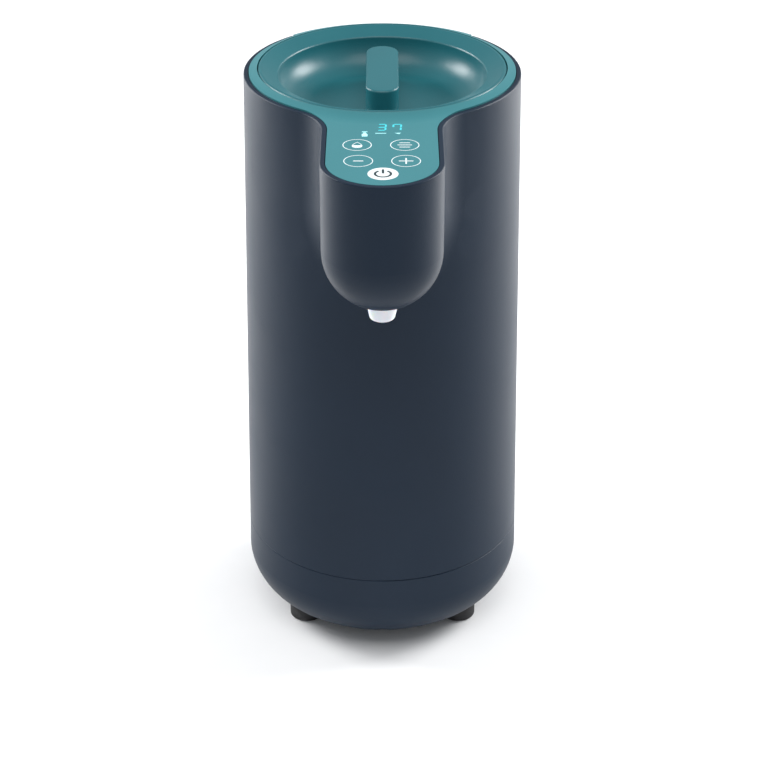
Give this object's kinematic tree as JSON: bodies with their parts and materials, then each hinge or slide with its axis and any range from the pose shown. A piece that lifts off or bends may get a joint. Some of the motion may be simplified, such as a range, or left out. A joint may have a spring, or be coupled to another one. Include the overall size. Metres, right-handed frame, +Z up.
{
  "type": "formula dispenser",
  "caption": "Countertop warm-water dispenser for infant formula: tapered round body, spout arm with touch panel and nozzle, lift-off dished lid over a steel tank.",
  "frame": {"origin": "on the body's axis, in the plane of the feet's soles", "axes": "+Z up; the spout arm points along -Y, so +Y is the back; +X to the right seen from the front"},
  "size_m": [0.1276, 0.1904, 0.2671],
  "materials": {
    "casing": "satin, slightly grained",
    "teal_panel": "satin",
    "teal_lid": "satin",
    "white_plastic": "satin",
    "nozzle_white": "milky, slightly translucent",
    "silicone": "matte, translucent",
    "black_rubber": "matte",
    "steel": "brushed stainless",
    "zinc": "bright zinc plate",
    "aluminium": "as cast",
    "bronze": "satin",
    "magnet": "dull",
    "foam": "open foam",
    "circuit_board": "solder mask",
    "black_plastic": "satin",
    "clear_plastic": "clear",
    "grey_vinyl": "satin",
    "red_vinyl": "satin",
    "winding": "enamelled copper",
    "capacitor": "gloss sleeve"
  },
  "bodies": {
    "root": {"base_screws": "zinc", "base_shell": "casing", "board_screws": "zinc", "buzzer": "black_plastic", "capacitors": "capacitor", "chassis_plate": "white_plastic", "chassis_screws": "zinc", "control_board": "circuit_board", "display_module": "black_plastic", "foot_1": "black_rubber", "foot_2": "black_rubber", "foot_3": "black_rubber", "foot_4": "black_rubber", "heater_nuts": "zinc", "heater_plate": "aluminium", "heating_element": "steel", "hose_clips": "zinc", "inlet_hose": "silicone", "inlet_pins": "bronze", "light_guide": "clear_plastic", "mains_inlet": "black_plastic", "motor_can": "zinc", "motor_end_cap": "black_plastic", "motor_magnets": "magnet", "nozzle_holder": "white_plastic", "outer_casing": "casing", "outlet_hose": "silicone", "outlet_nut": "steel", "outlet_seal": "silicone", "panel_screws": "zinc", "power_board": "circuit_board", "power_leads": "red_vinyl", "pump_cover": "black_plastic", "pump_housing": "black_plastic", "pump_screws": "zinc", "pump_seal": "silicone", "relay": "black_plastic", "ribbon_cable": "grey_vinyl", "ribbon_sockets": "white_plastic", "shaft_bushes": "bronze", "small_screws": "zinc", "tank_gasket": "silicone", "tank_outlet": "steel", "tank_sleeve": "foam", "temperature_sensor": "steel", "thermal_cutout": "black_plastic", "top_panel": "teal_panel", "touch_pads": "black_rubber", "transformer": "winding", "water_tank": "steel"},
    "lid": {"lid_dish": "teal_lid", "lid_grip": "teal_lid", "lid_underplate": "white_plastic", "lid_seal": "silicone", "lid_screws": "zinc"},
    "nozzle_body": {"nozzle": "nozzle_white", "nozzle_o_ring": "black_rubber"},
    "pump_rotor": {"impeller": "white_plastic", "motor_shaft": "steel", "motor_rotor": "steel"}
  },
  "joints": [
    {"name": "lid_lift", "type": "slide", "parent": "root", "child": "lid", "axis": [0, 0, 1], "range_m": [0, 0.12]},
    {"name": "nozzle_pull", "type": "slide", "parent": "root", "child": "nozzle_body", "axis": [0, 0, -1], "range_m": [0, 0.025]},
    {"name": "pump_spin", "type": "hinge", "parent": "root", "child": "pump_rotor", "pos_m": [0, 0, 0.05], "axis": [0, 0, 1], "continuous": true}
  ]
}
